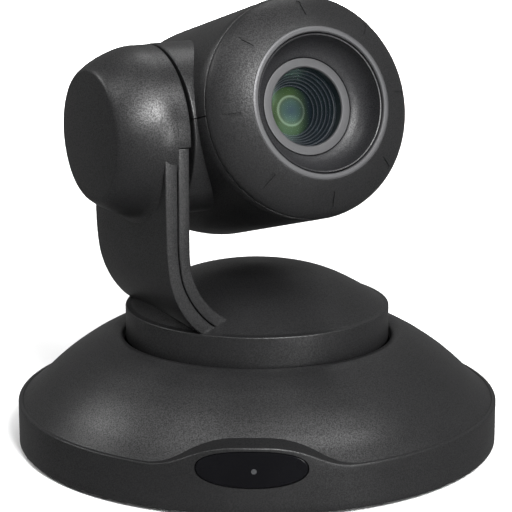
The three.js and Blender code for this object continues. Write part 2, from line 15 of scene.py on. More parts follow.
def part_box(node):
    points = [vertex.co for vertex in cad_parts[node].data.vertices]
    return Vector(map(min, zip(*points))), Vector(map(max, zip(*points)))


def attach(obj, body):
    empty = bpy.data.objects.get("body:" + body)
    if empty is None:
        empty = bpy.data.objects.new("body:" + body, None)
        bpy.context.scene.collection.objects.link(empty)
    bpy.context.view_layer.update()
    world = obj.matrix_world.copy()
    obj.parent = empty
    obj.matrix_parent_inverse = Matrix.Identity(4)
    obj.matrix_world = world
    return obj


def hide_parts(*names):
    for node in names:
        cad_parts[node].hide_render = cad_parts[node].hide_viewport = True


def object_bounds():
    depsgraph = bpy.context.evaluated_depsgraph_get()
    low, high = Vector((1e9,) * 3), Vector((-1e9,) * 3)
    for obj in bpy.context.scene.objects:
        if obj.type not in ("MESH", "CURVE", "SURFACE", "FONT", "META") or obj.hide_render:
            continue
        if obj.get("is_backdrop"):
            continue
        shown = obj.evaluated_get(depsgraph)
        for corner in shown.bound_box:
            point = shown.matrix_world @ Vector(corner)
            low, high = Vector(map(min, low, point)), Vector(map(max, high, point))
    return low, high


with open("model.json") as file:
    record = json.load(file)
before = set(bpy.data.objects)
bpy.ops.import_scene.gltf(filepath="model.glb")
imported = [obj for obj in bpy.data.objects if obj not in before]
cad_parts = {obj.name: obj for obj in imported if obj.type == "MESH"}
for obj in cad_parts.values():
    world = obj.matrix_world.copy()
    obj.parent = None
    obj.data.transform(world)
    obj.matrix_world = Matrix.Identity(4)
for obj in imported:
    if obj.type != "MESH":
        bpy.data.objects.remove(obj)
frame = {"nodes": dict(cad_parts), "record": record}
cad_low, cad_high = (v.copy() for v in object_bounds())
print("frame loaded, box in mm:", [round(v * 1000, 1) for v in cad_high - cad_low])

# %% [markdown]
# ## Three drawing frames
# The base sits still, the turntable has turned, and the head has turned and tilted. The joints in
# the record say how far: the tilt axis gives the sideways direction and the zoom slide gives the
# optical axis. A matrix for each frame carries drawings from millimetres to the model's metres.

# %% Drawing frames from the joints
joints = {j["name"]: j for j in frame["record"]["behaviour"]["joints"]}
up = Vector((0, 0, 1))
sideways = -Vector(joints["tilt"]["axis"]).normalized()
optical = Vector(joints["zoom"]["axis"]).normalized()
tilt_centre = Vector(joints["tilt"]["pos_m"])
rim_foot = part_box("base_skirt")[0].z


def place(x_axis, y_axis, z_axis, origin):
    turn = Matrix((x_axis, y_axis, z_axis)).transposed().to_4x4()
    return Matrix.Translation(origin) @ turn @ Matrix.Scale(0.001, 4)


BASE = place(Vector((1, 0, 0)), Vector((0, 1, 0)), up, (0, 0, rim_foot))
TURN = place(sideways, up.cross(sideways), up, (0, 0, rim_foot))
HEAD = place(sideways, -optical, sideways.cross(-optical), tilt_centre)
TILT_Z = (tilt_centre.z - rim_foot) * 1000
print("tilt axis", round(TILT_Z, 2), "mm over the rim, head direction", [round(v, 3) for v in optical])

# %% [markdown]
# ## Small drawing tools
# Moulded parts are drawn as profiles. Three tools are enough: a smooth curve through measured
# points, corners rounded by a radius, and a lathe. Rings of points joined into a skin make the rest.

# %% Curves and rounded corners
def smooth(points, per=6):
    """A smooth line through the points, with a few steps between each pair."""
    out = []
    for i in range(len(points) - 1):
        p0, p1 = points[max(i - 1, 0)], points[i]
        p2, p3 = points[i + 1], points[min(i + 2, len(points) - 1)]
        for k in range(per):
            t = k / per
            out.append(tuple(
                0.5 * (2 * b + (c - a) * t + (2 * a - 5 * b + 4 * c - d) * t * t + (3 * b - a - 3 * c + d) * t ** 3)
                for a, b, c, d in zip(p0, p1, p2, p3)))
    return out + [tuple(points[-1])]


def height_at(line, x):
    """Height of a line of (x, z) points, sorted by x, at x."""
    for (x0, z0), (x1, z1) in zip(line, line[1:]):
        if x0 <= x <= x1:
            return z0 + (z1 - z0) * (x - x0) / max(x1 - x0, 1e-9)
    return line[0][1] if x < line[0][0] else line[-1][1]


def rounded(corners, steps=6, closed=True):
    """A polyline from corners (x, y) or (x, y, radius), with each radius turned into an arc."""
    out, n = [], len(corners)
    for i, corner in enumerate(corners):
        p = Vector(corner[:2])
        r = corner[2] if len(corner) > 2 else 0
        if r == 0 or (not closed and i in (0, n - 1)):
            out.append(tuple(p))
            continue
        a, b = Vector(corners[i - 1][:2]) - p, Vector(corners[(i + 1) % n][:2]) - p
        half = a.angle(b) / 2
        reach = min(r / math.tan(half), 0.49 * a.length, 0.49 * b.length)
        start, end = p + a.normalized() * reach, p + b.normalized() * reach
        for k in range(steps + 1):
            t = k / steps
            q = start.lerp(p, t).lerp(p.lerp(end, t), t)
            out.append(tuple(q))
    return out


print("a rounded square has", len(rounded([(0, 0, 1), (9, 0, 1), (9, 9, 1), (0, 9, 1)])), "points")

# %% [markdown]
# A drawing is a list of corner points and a list of faces. A skin joins rings of points. A lathe is a
# skin whose rings are copies of one profile, and it can turn about three axes: upright for the base,
# sideways for the hub and forward for the lens. Blender's own Screw modifier could turn profiles
# too, but plain lists are easier to change and to join.

# %% Skins and lathes
def skin(rings, around=True, along=False):
    """Quads between rings of equal length. along joins the last ring to the first."""
    n, verts, faces = len(rings[0]), [p for ring in rings for p in ring], []
    for i in range(len(rings) if along else len(rings) - 1):
        j = (i + 1) % len(rings)
        for k in range(n if around else n - 1):
            m = (k + 1) % n
            faces.append((i * n + k, i * n + m, j * n + m, j * n + k))
    return verts, faces


AXES = {
    "z": lambda r, h, c, s: (r * c, r * s, h),
    "x": lambda r, h, c, s: (-h, r * c, r * s),      # h runs towards the arm
    "y": lambda r, h, c, s: (r * c, -h, r * s),      # h runs forward
}


def lathe(profile, steps=192, axis="z"):
    """Turns a profile of (radius, height) round an axis. It closes on itself unless it ends on the axis."""
    on_axis = abs(profile[0][0]) < 1e-6 and abs(profile[-1][0]) < 1e-6
    rings = []
    for k in range(steps):
        a = 2 * math.pi * k / steps
        rings.append([AXES[axis](r, h, math.cos(a), math.sin(a)) for r, h in profile])
    return skin(rings, around=not on_axis, along=True)


print("a small ring on the lathe has", len(lathe([(9, 0), (10, 0), (10, 1), (9, 1)], 12)[1]), "faces")


# %% Slabs
def inset(outline, d):
    """The outline moved inwards by d. It runs anticlockwise."""
    out, n = [], len(outline)
    for i in range(n):
        p, a, b = Vector(outline[i]), Vector(outline[i - 1]), Vector(outline[(i + 1) % n])
        u, v = (p - a).normalized(), (b - p).normalized()
        nu, nv = Vector((-u.y, u.x)), Vector((-v.y, v.x))
        m = (nu + nv)
        m = m / max(m.length_squared / 2, 0.6)
        out.append(tuple(p + m * d))
    return out


def slab(outline, low, high, edge=0.5, steps=4):
    """An XZ outline pushed along Y from low to high, its rims rounded by edge."""
    path = [(low + edge - edge * math.sin(a), edge - edge * math.cos(a))
            for a in [math.pi / 2 * (1 - k / steps) for k in range(steps + 1)]]
    path += [(high + low - y, d) for y, d in reversed(path)]
    drawn = [[(x, y, z) for x, z in inset(outline, d)] for y, d in path]
    verts, faces = skin(drawn)
    n, last = len(outline), (len(drawn) - 1) * len(outline)
    faces += [tuple(reversed(range(n))), tuple(range(last, last + n))]
    return verts, faces


def raised(drawing, height):
    """The same drawing, higher up."""
    return [(x, y, z + height) for x, y, z in drawing[0]], drawing[1]


print("a square slab has", len(slab([(0, 0), (9, 0), (9, 9), (0, 9)], 0, 3)[1]), "faces")

# %% [markdown]
# A drawing becomes an object in one place. Every closed drawing is cleaned and made to face outwards
# on its own before the drawings of a piece are joined, because that is where a lathe or a mirrored
# drawing can turn inside out. Openings are cut with an exact Boolean, which leaves plain geometry.

# %% From drawings to a mesh
def mesh_of(name, drawings, where):
    """One mesh from several closed drawings, each cleaned and facing outwards."""
    whole = bmesh.new()
    for verts, faces in drawings:
        bm = bmesh.new()
        made = [bm.verts.new(where @ Vector(v)) for v in verts]
        for f in faces:
            corners = [made[i] for i in f]
            if len(set(corners)) > 2:
                bm.faces.new(corners)
        bmesh.ops.remove_doubles(bm, verts=bm.verts, dist=2e-6)
        bmesh.ops.dissolve_degenerate(bm, edges=bm.edges, dist=1e-6)
        bmesh.ops.recalc_face_normals(bm, faces=bm.faces)
        part = bpy.data.meshes.new("part")
        bm.to_mesh(part)
        whole.from_mesh(part)
        bm.free()
        bpy.data.meshes.remove(part)
    mesh = bpy.data.meshes.new(name)
    whole.to_mesh(mesh)
    whole.free()
    return mesh


def soften(mesh, degrees=32):
    """Smooth shading, with edges sharper than the angle kept crisp."""
    mesh.shade_smooth()
    mesh.set_sharp_from_angle(angle=math.radians(degrees))


print("mesh tools: mesh_of, soften")


# %% From a mesh to a piece of the camera
def piece(name, drawings, where, body, finish, stands_for=(), sharp=32):
    """A finished object that rides on a body and stands for its CAD nodes."""
    mesh = mesh_of(name, drawings, where)
    soften(mesh, sharp)
    obj = bpy.data.objects.new(name, mesh)
    bpy.context.collection.objects.link(obj)
    return dress(obj, body, finish, stands_for)


def dress(obj, body, finish, stands_for=()):
    """Gives an object its finish, its body and the frame nodes it stands for."""
    obj.data.materials.clear()
    obj.data.materials.append(finish)
    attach(obj, body)
    if stands_for:
        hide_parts(*stands_for)
    print(obj.name, len(obj.data.polygons), "faces on", body)
    return obj


print("piece tools: piece, dress")


# %% Cutting
def carve(obj, cutters, sharp=32):
    """Cuts closed drawings out of an object and keeps the result as its mesh."""
    for cutter in cutters:
        tool = bpy.data.objects.new("cutter", cutter)
        bpy.context.collection.objects.link(tool)
        mod = obj.modifiers.new("cut", "BOOLEAN")
        mod.operation, mod.solver, mod.object = "DIFFERENCE", "EXACT", tool
        view = bpy.context.evaluated_depsgraph_get()
        done = bpy.data.meshes.new_from_object(obj.evaluated_get(view))
        obj.modifiers.clear()
        old, obj.data = obj.data, done
        done.name = old.name
        bpy.data.objects.remove(tool)
    soften(obj.data, sharp)
    return obj


def split(drawing, at, keep_above):
    """One side of a closed drawing, cut by the plane z = at and closed again."""
    bm = bmesh.new()
    made = [bm.verts.new(v) for v in drawing[0]]
    for f in drawing[1]:
        corners = [made[i] for i in f]
        if len(set(corners)) > 2:
            bm.faces.new(corners)
    bmesh.ops.remove_doubles(bm, verts=bm.verts, dist=2e-3)
    geom = bm.verts[:] + bm.edges[:] + bm.faces[:]
    bmesh.ops.bisect_plane(bm, geom=geom, plane_co=(0, 0, at), plane_no=(0, 0, 1), dist=1e-4,
                           clear_inner=keep_above, clear_outer=not keep_above)
    rim = [e for e in bm.edges if e.is_boundary]
    bmesh.ops.holes_fill(bm, edges=rim, sides=0)
    bm.verts.index_update()
    verts = [tuple(v.co) for v in bm.verts]
    faces = [tuple(v.index for v in f.verts) for f in bm.faces]
    bm.free()
    return verts, faces


print("cutting tools: carve, split")

# %% [markdown]
# ## Finishes
# The housing is charcoal ABS, moulded in a tool with a fine spark-eroded texture. At arm's length it
# looks satin with a fine speckle: the texture is a grain of a few tenths of a millimetre that breaks
# up the highlights. It could be a scanned texture, but noise on Object coordinates has no seams and
# keeps its real scale on every piece. The fine noise drives a bump and how strongly the surface
# reflects, a coarser one adds a second bump, and a slow one gives the uneven tone of any moulding.

# %% Helpers for procedural materials
def new_material(name):
    """A material, its nodes and links, its shader and the Object coordinates."""
    mat = bpy.data.materials.new(name)
    mat.use_nodes = True
    nodes, links = mat.node_tree.nodes, mat.node_tree.links
    shader = nodes["Principled BSDF"]
    place_node = nodes.new("ShaderNodeTexCoord")
    return mat, nodes, links, shader, place_node.outputs["Object"]


def noise(nodes, links, coords, scale, detail=2.0, rough=0.5):
    """A noise texture with scale cells per metre."""
    tex = nodes.new("ShaderNodeTexNoise")
    tex.inputs["Scale"].default_value = scale
    tex.inputs["Detail"].default_value = detail
    tex.inputs["Roughness"].default_value = rough
    links.new(coords, tex.inputs["Vector"])
    return tex.outputs["Fac"]


def spread(nodes, links, value, low, high, start=0.3, end=0.7):
    """Maps a texture's middle range onto low to high."""
    node = nodes.new("ShaderNodeMapRange")
    for key, number in (("From Min", start), ("From Max", end), ("To Min", low), ("To Max", high)):
        node.inputs[key].default_value = number
    links.new(value, node.inputs["Value"])
    return node.outputs["Result"]


def tint(nodes, links, factor, dark, light):
    """A colour between dark and light."""
    node = nodes.new("ShaderNodeMix")
    node.data_type = "RGBA"
    node.inputs["A"].default_value = (*dark, 1)
    node.inputs["B"].default_value = (*light, 1)
    links.new(factor, node.inputs["Factor"])
    return node.outputs["Result"]


print("material helpers: new_material, noise, spread, tint")


# %% A moulded plastic with grain and unevenness
FINE_BUMP, COARSE_BUMP = 0.00006, 0.00012             # metres


def moulded(name, tone, gloss=0.42, grain=2300.0, depth=0.16, sheen=0.45):
    """Textured plastic. grain is noise cells per metre, sheen the middle of its reflection."""
    mat, nodes, links, shader, coords = new_material(name)
    fine = noise(nodes, links, coords, grain, 3.0, 0.6)
    coarse = noise(nodes, links, coords, grain * 0.32, 2.0, 0.5)
    drift = noise(nodes, links, coords, 38.0, 3.0, 0.55)
    dark = tuple(c * 0.88 for c in tone)
    light = tuple(c * 1.13 for c in tone)
    both = nodes.new("ShaderNodeMath")
    both.operation = "MULTIPLY_ADD"
    both.inputs[1].default_value = 0.35
    links.new(fine, both.inputs[0])
    links.new(spread(nodes, links, drift, 0.1, 0.55), both.inputs[2])
    links.new(tint(nodes, links, both.outputs[0], dark, light), shader.inputs["Base Color"])
    links.new(spread(nodes, links, drift, gloss - 0.035, gloss + 0.045), shader.inputs["Roughness"])
    links.new(spread(nodes, links, fine, sheen * 0.45, sheen * 1.75, 0.38, 0.62), shader.inputs["Specular IOR Level"])
    first = nodes.new("ShaderNodeBump")
    first.inputs["Strength"].default_value = depth
    first.inputs["Distance"].default_value = FINE_BUMP
    links.new(fine, first.inputs["Height"])
    second = nodes.new("ShaderNodeBump")
    second.inputs["Strength"].default_value = depth * 0.6
    second.inputs["Distance"].default_value = COARSE_BUMP
    links.new(coarse, second.inputs["Height"])
    links.new(first.outputs["Normal"], second.inputs["Normal"])
    links.new(second.outputs["Normal"], shader.inputs["Normal"])
    return mat


charcoal = moulded("charcoal_moulding", (0.0078, 0.0078, 0.0081), 0.38, depth=0.34, sheen=0.27)
bezel_grey = moulded("bezel_moulding", (0.0085, 0.0085, 0.0088), 0.43, 2300.0, 0.36, 0.19)
black_plastic = moulded("black_moulding", (0.014, 0.014, 0.015), 0.5)
bowl_black = moulded("bowl_moulding", (0.010, 0.010, 0.011), 0.42, 2600.0, 0.10, 0.35)
rubber = moulded("foot_rubber", (0.018, 0.018, 0.018), 0.75, 1500.0, 0.5, 0.3)
print("plastics and rubber:", [m.name for m in (charcoal, bezel_grey, black_plastic, bowl_black, rubber)])

# %% [markdown]
# Metals come next. Turned parts show fine lathe lines and cast ones a pebbly skin, so one recipe
# serves both: the noise is stretched along an axis for the lines and left round for the skin.

# %% Metals
def metal(name, tone, gloss, streak=0.0, axis=2, speckle=900.0, bump=0.1, metallic=1.0):
    """Metal or hard coating. streak squeezes the noise along an axis into lathe lines."""
    mat, nodes, links, shader, coords = new_material(name)
    mapping = nodes.new("ShaderNodeMapping")
    stretch = [1.0, 1.0, 1.0]
    stretch[axis] = 1.0 + streak
    mapping.inputs["Scale"].default_value = stretch
    links.new(coords, mapping.inputs["Vector"])
    fine = noise(nodes, links, mapping.outputs["Vector"], speckle, 4.0, 0.6)
    links.new(tint(nodes, links, fine, tuple(c * 0.8 for c in tone), tuple(c * 1.12 for c in tone)),
              shader.inputs["Base Color"])
    links.new(spread(nodes, links, fine, gloss - 0.06, gloss + 0.08), shader.inputs["Roughness"])
    shader.inputs["Metallic"].default_value = metallic
    dents = nodes.new("ShaderNodeBump")
    dents.inputs["Strength"].default_value = bump
    dents.inputs["Distance"].default_value = 0.0001
    links.new(fine, dents.inputs["Height"])
    links.new(dents.outputs["Normal"], shader.inputs["Normal"])
    return mat


# The lens ring has this satin finish of its own, and the bezel lip takes it as a painted highlight on its edge.
lens_ring_satin_and_lip_highlight = metal("anodised_lens_ring", (0.045, 0.045, 0.047), 0.46, 0.0, 2, 2400.0, 0.25, 0.35)
plain_steel = metal("machined_steel", (0.55, 0.56, 0.58), 0.32, 6.0)
black_screw = metal("blackened_steel", (0.030, 0.030, 0.032), 0.52, 0.0, 2, 1600.0, 0.1)
cast_metal = metal("cast_metal", (0.48, 0.48, 0.50), 0.5, 0.0, 2, 1200.0, 0.3)
powder_coat = metal("powder_coated_plate", (0.020, 0.020, 0.021), 0.55, 0.0, 2, 1100.0, 0.45, 0.0)
brass = metal("turned_brass", (0.62, 0.45, 0.17), 0.3, 8.0)
nickel = metal("nickel_shell", (0.55, 0.54, 0.51), 0.28, 4.0)
black_tube = metal("black_anodised_tube", (0.012, 0.012, 0.013), 0.45, 10.0, 2, 1400.0, 0.15, 0.3)
print("metals:", [m.name for m in (lens_ring_satin_and_lip_highlight, plain_steel, black_screw, cast_metal, powder_coat, brass)])

# %% [markdown]
# Glass could be made to refract, but behind a small dark lens that costs much light sampling for
# little. Here the front glass is almost clear and adds only a faint green reflection, as its coating
# does. The coated lens behind it has a painted reflection instead: its colours lie in bands of radius,
# fading to dark on one side.

# %% Coated glass
def coated_glass(name, tone, weight):
    """Anti-reflection coated glass: almost clear, with a faint tinted reflection."""
    mat, nodes, links, shader, coords = new_material(name)
    dust = noise(nodes, links, coords, 240.0, 2.0, 0.5)
    links.new(tint(nodes, links, dust, tone, tuple(c * 1.4 for c in tone)), shader.inputs["Base Color"])
    links.new(spread(nodes, links, dust, 0.16, 0.20, 0.5, 0.8), shader.inputs["Roughness"])
    shader.inputs["Specular Tint"].default_value = (0.55, 1.0, 0.75, 1)
    shader.inputs["Specular IOR Level"].default_value = 0.12
    shader.inputs["Alpha"].default_value = weight
    return mat


def distance_from_axis(nodes, links, coords):
    """Radius from the optical axis in metres, from Object coordinates."""
    mapping = nodes.new("ShaderNodeMapping")
    mapping.vector_type = "TEXTURE"
    mapping.inputs["Location"].default_value = tilt_centre
    mapping.inputs["Rotation"].default_value = HEAD.to_3x3().normalized().to_euler()
    links.new(coords, mapping.inputs["Vector"])
    flat = nodes.new("ShaderNodeVectorMath")
    flat.operation = "MULTIPLY"
    flat.inputs[1].default_value = (1, 0, 1)
    links.new(mapping.outputs["Vector"], flat.inputs[0])
    length = nodes.new("ShaderNodeVectorMath")
    length.operation = "LENGTH"
    links.new(flat.outputs["Vector"], length.inputs[0])
    return length.outputs["Value"], mapping.outputs["Vector"]


print("coating helpers: coated_glass, distance_from_axis")


# %% A coated lens with a painted reflection in bands of radius
LENS_REACH = 0.012                                    # metres, the end of the colour ramp


def painted_reflection_lens(name, painted_bands, dark_side, gloss=0.34):
    """A coated inner lens with a painted reflection: its tint changes with radius and fades to dark on one side."""
    mat, nodes, links, shader, coords = new_material(name)
    radius, local = distance_from_axis(nodes, links, coords)
    ramp = nodes.new("ShaderNodeValToRGB")
    ramp.color_ramp.elements.remove(ramp.color_ramp.elements[1])
    for k, (r, colour) in enumerate(painted_bands):
        spot = ramp.color_ramp.elements[0] if k == 0 else ramp.color_ramp.elements.new(r / LENS_REACH)
        spot.position = r / LENS_REACH
        spot.color = (*colour, 1)
    scaled = nodes.new("ShaderNodeMath")
    scaled.operation = "DIVIDE"
    scaled.inputs[1].default_value = LENS_REACH
    links.new(radius, scaled.inputs[0])
    links.new(scaled.outputs[0], ramp.inputs["Fac"])
    apart = nodes.new("ShaderNodeSeparateXYZ")
    links.new(local, apart.inputs["Vector"])
    side = spread(nodes, links, apart.outputs["X"], 0.0, 1.0, 0.001, 0.008)
    fade = nodes.new("ShaderNodeMix")
    fade.data_type = "RGBA"
    links.new(side, fade.inputs["Factor"])
    links.new(ramp.outputs["Color"], fade.inputs["A"])
    fade.inputs["B"].default_value = (*dark_side, 1)
    links.new(fade.outputs["Result"], shader.inputs["Base Color"])
    drift = noise(nodes, links, coords, 200.0, 2.0, 0.5)
    links.new(spread(nodes, links, drift, gloss, gloss + 0.04), shader.inputs["Roughness"])
    shader.inputs["Specular IOR Level"].default_value = 0.12
    return mat


# These colours are a painted reflection: bluish in the middle, a pale green rim, green round it, fading to the dark
# colour on one side.
lens_with_painted_reflection = painted_reflection_lens("coated_inner_lens", [
    (0.0, (0.055, 0.090, 0.125)), (0.0034, (0.070, 0.130, 0.105)), (0.0046, (0.075, 0.120, 0.070)),
    (0.0053, (0.300, 0.400, 0.270)), (0.0058, (0.060, 0.105, 0.030)), (0.0080, (0.045, 0.085, 0.018)),
    (0.0098, (0.010, 0.018, 0.012))], (0.006, 0.008, 0.016))
print("lens coating:", lens_with_painted_reflection.name)

# %% [markdown]
# Smooth plastics, board lacquer and gear plastic share a glossy recipe with a slow ripple and small
# specks. The baffles are black with thin lips painted lighter as highlights, one in every step of radius.

# %% Smooth plastics and lacquer
def glossy(name, tone, gloss=0.06, ripple=0.03):
    """A smooth surface whose gloss is broken by small specks and a slow ripple."""
    mat, nodes, links, shader, coords = new_material(name)
    drift = noise(nodes, links, coords, 60.0, 2.0)
    links.new(tint(nodes, links, drift, tuple(c * 0.8 for c in tone), tuple(c * 1.2 for c in tone)),
              shader.inputs["Base Color"])
    specks = noise(nodes, links, coords, 900.0, 4.0, 0.65)
    links.new(spread(nodes, links, specks, gloss, gloss + 0.06, 0.5, 0.8), shader.inputs["Roughness"])
    wave = nodes.new("ShaderNodeBump")
    wave.inputs["Strength"].default_value = ripple
    wave.inputs["Distance"].default_value = 0.0004
    links.new(drift, wave.inputs["Height"])
    links.new(wave.outputs["Normal"], shader.inputs["Normal"])
    return mat


print("glossy recipe ready")


# %% Black baffles with painted highlights on their lips
def baffles_painted_lips(name, inner, step, dark, lip):
    """Black baffles whose thin lips carry a painted highlight: one line in every step of radius."""
    mat, nodes, links, shader, coords = new_material(name)
    radius = distance_from_axis(nodes, links, coords)[0]
    share = nodes.new("ShaderNodeMapRange")
    for key, number in (("From Min", inner), ("From Max", inner + step), ("To Min", 0.0), ("To Max", 1.0)):
        share.inputs[key].default_value = number
    share.clamp = False
    links.new(radius, share.inputs["Value"])
    part = nodes.new("ShaderNodeMath")
    part.operation = "FRACT"
    links.new(share.outputs["Result"], part.inputs[0])
    # The lip line is a painted highlight: a lighter colour on the edge of each ledge.
    line = spread(nodes, links, part.outputs[0], 1.0, 0.0, 0.16, 0.34)
    fine = noise(nodes, links, coords, 1500.0, 2.0)
    uneven = nodes.new("ShaderNodeMath")
    uneven.operation = "MULTIPLY"
    links.new(line, uneven.inputs[0])
    links.new(spread(nodes, links, fine, 0.7, 1.0), uneven.inputs[1])
    links.new(tint(nodes, links, uneven.outputs[0], dark, lip), shader.inputs["Base Color"])
    links.new(spread(nodes, links, fine, 0.40, 0.50), shader.inputs["Roughness"])
    shader.inputs["Specular IOR Level"].default_value = 0.2
    return mat


# The lighter lip colour is a painted highlight on the baffles' edges.
baffle_black = baffles_painted_lips("baffle_black", 0.0089, 0.0009, (0.005, 0.007, 0.012), (0.150, 0.155, 0.175))
front_glass = coated_glass("front_lens_glass", (0.003, 0.005, 0.006), 0.30)
inner_glass = glossy("inner_lens_coating", (0.012, 0.010, 0.03), 0.05)
smoked = glossy("smoked_window", (0.0025, 0.0025, 0.003), 0.14)
smoked.node_tree.nodes["Principled BSDF"].inputs["Specular IOR Level"].default_value = 0.10
light_pipe = glossy("light_pipe", (0.030, 0.031, 0.033), 0.3)
epoxy = glossy("black_epoxy", (0.012, 0.012, 0.013), 0.3)
board_green = glossy("board_mask", (0.008, 0.05, 0.022), 0.28)
acetal = moulded("acetal_gear", (0.66, 0.64, 0.58), 0.4, 1500.0, 0.1, 0.4)
print("glass and others:", front_glass.name, smoked.name, board_green.name)

# %% [markdown]
# ## The base
# The base is a flat round rim, 180 mm across, with a low dome on it. In front the rim's wall swells
# up into a hood over an oval window for the remote control's infrared light. It could be a plain ring
# with a swelling joined on, but that leaves a hard line. Here the rim is a skin of upright sections,
# one for each direction, which differ only in how high the wall stands and how far its roof runs back.

# %% Heights of the dome and of the hood
RIM = 90.0
RIM_IN = 88.45
RIM_TOP = 15.9
DOME = [(52.8, 40.55), (54.3, 40.65), (57.5, 39.45), (61.0, 37.6), (65.3, 35.0), (72.3, 30.0), (78.1, 25.0),
        (83.1, 20.15), (88.4, 15.72)]
HOOD = [(0.0, 24.0), (5.0, 23.95), (9.9, 23.6), (15.0, 22.55), (20.2, 20.75), (25.6, 18.35), (30.2, 16.75),
        (34.4, 16.0), (37.0, 15.9), (90.0, 15.9)]
dome_line = smooth(DOME, 8)
hood_line = smooth(HOOD[:-1], 8) + [HOOD[-1]]


def roof_end(angle):
    """How far in the rim's top runs before it meets the dome, and the roof height there."""
    if height_at(hood_line, abs(RIM_IN * math.sin(angle))) < RIM_TOP + 0.02:
        return RIM_IN
    low, high = 60.0, RIM_IN
    for _ in range(30):
        mid = (low + high) / 2
        over = height_at(hood_line, abs(mid * math.sin(angle))) - height_at(dome_line, mid)
        low, high = (low, mid) if over > 0 else (mid, high)
    return min(RIM_IN, low - 0.1)


print("the hood's roof is", round(RIM - roof_end(0.0), 1), "mm deep in the middle")


# %% The rim with its hood
FILLET = 0.6


def rim_section(angle):
    """Closed (radius, height) section of the rim at an angle from the front."""
    inner = roof_end(angle)
    top = [height_at(hood_line, abs(r * math.sin(angle))) for r in (RIM, RIM - 0.55)]
    out = [(RIM_IN, 0.25), (RIM_IN + 0.25, 0.0), (RIM - 0.45, 0.0), (RIM - 0.12, 0.13), (RIM, 0.45)]
    out += [(RIM, 0.45 + (top[0] - 1.05) * k / 7) for k in range(1, 8)]
    for k in range(1, 7):
        a = math.pi / 2 * k / 6
        out.append((RIM - FILLET * (1 - math.cos(a)), top[0] - FILLET + FILLET * math.sin(a)))
    for k in range(1, 11):
        r = RIM - FILLET + (inner - RIM + FILLET) * k / 10
        out.append((r, height_at(hood_line, abs(r * math.sin(angle)))))
    z = out[-1][1]
    out += [(inner, z - 1.6), (RIM_IN, z - 1.7)]
    return out


def front_angles():
    """Directions round the rim: a quarter of a degree apart in front, wider elsewhere."""
    fine = [math.radians(a / 4) for a in range(-26 * 4, 26 * 4 + 1)]
    rest = [math.radians(a) for a in [26 + k * (308 / 240) for k in range(1, 240)]]
    return fine + rest


rim_rings = [[(r * math.sin(a), -r * math.cos(a), z) for r, z in rim_section(a)] for a in front_angles()]
rim = piece("rim", [skin(rim_rings, around=True, along=True)], BASE, "base", charcoal,
            ["base_skirt"], sharp=40)

# %% [markdown]
# The window is an oval with slightly squared shoulders, bent round the rim. A superellipse gives that
# outline from two half sizes. Its opening is cut through the wall, a little larger than the pane, and
# so is the recess at the back for the connectors.

# %% Openings in the rim
WINDOW_Z, HALF_WIDE, HALF_HIGH, SQUARENESS = 16.1, 19.2, 6.4, 0.87


def window_outline(grow, count=96):
    """The window's outline, larger all round by grow."""
    out = []
    for k in range(count):
        c, s = math.cos(2 * math.pi * k / count), math.sin(2 * math.pi * k / count)
        x = math.copysign(abs(c) ** SQUARENESS, c) * (HALF_WIDE + grow)
        z = math.copysign(abs(s) ** SQUARENESS, s) * (HALF_HIGH + grow)
        out.append((x, WINDOW_Z + z))
    return out


window_cutter = mesh_of("window_cutter", [slab(window_outline(0.3), -94, -84, 0.01, 1)], BASE)
recess_outline = rounded([(-38, 2.9, 1.5), (38, 2.9, 1.5), (38, 14.2, 1.5), (-38, 14.2, 1.5)])
recess_cutter = mesh_of("recess_cutter", [slab(recess_outline, 70, 95, 0.01, 1)], BASE)
carve(rim, [window_cutter, recess_cutter], sharp=40)
print("rim now has", len(rim.data.polygons), "faces")

# %% [markdown]
# The pane is smoked plastic that lets infrared through. It follows the rim's round wall and sits just
# inside it, so its rings are scaled copies of the outline, each laid on a cylinder.

# %% The window pane
def on_rim(x, z, radius):
    """A point of the flat outline bent on to an upright cylinder."""
    return (x, -math.sqrt(radius * radius - x * x), z)


edge = window_outline(0)
pane_rings = []
for k, radius in ((0.0, 89.82), (0.3, 89.82), (0.6, 89.82), (0.85, 89.82), (0.965, 89.81), (0.985, 89.76),
                  (1.0, 89.6), (1.0, 88.0), (0.5, 88.0), (0.0, 88.0)):
    pane_rings.append([on_rim(x * k, WINDOW_Z + (z - WINDOW_Z) * k, radius) for x, z in edge])
piece("window_pane", [skin(pane_rings)], BASE, "base", smoked, ["ir_window"])

# %% [markdown]
# The dome is a plain turned shape. Its top edge rolls over into the dark ring-shaped gap that the
# turntable stands in. The skirt below the groove is tucked inside the rim.

# %% The dome
dome_profile = smooth(DOME[1:], 10) + [(88.36, 14.4), (86.2, 14.4)]
dome_profile += [(81.0, 18.9), (76.4, 23.0), (70.8, 27.9), (64.0, 32.6), (57.0, 36.6), (54.4, 37.4), (53.6, 36.2),
                 (50.25, 36.2), (50.2, 38.5), (50.35, 39.2), (50.8, 39.75), (51.6, 40.2), (52.8, 40.55),
                 (53.6, 40.66)]
piece("dome", [lathe(dome_profile, 256)], BASE, "base", charcoal, ["base_dome"], sharp=45)

# %% [markdown]
# ## The turntable
# The turntable is a low cap on a short straight wall, a plain turned moulding with a small round on
# its edge. A closed profile on the lathe gives its wall thickness as well, so that nothing is
# missing when the camera is seen from below or when the arm's strap passes into it.

